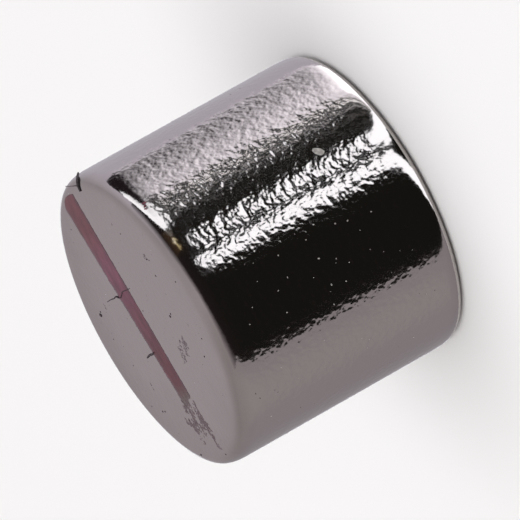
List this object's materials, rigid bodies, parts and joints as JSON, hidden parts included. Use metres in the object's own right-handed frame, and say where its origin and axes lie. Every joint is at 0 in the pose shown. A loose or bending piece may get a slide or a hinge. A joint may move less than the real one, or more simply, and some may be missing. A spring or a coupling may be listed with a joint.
{
  "type": "disc magnet",
  "caption": "Squat round magnet with a mirror nickel plating, rounded edges and a painted stripe across one end to mark the pole.",
  "frame": {"origin": "centre of the plain end face, on the surface the magnet stands on", "axes": "+Z along the magnet's axis towards the marked end; +X towards the rim where the painted stripe starts; +Y to the side the stripe is offset to"},
  "size_m": [0.012, 0.012, 0.01],
  "materials": {
    "nickel_plating": "bright nickel plating over sintered neodymium-iron-boron, polished with a fine orange peel",
    "pole_paint": "thin dull red marker paint, worn"
  },
  "bodies": {
    "root": {"magnet_body": "nickel_plating", "pole_stripe": "pole_paint"}
  },
  "joints": []
}
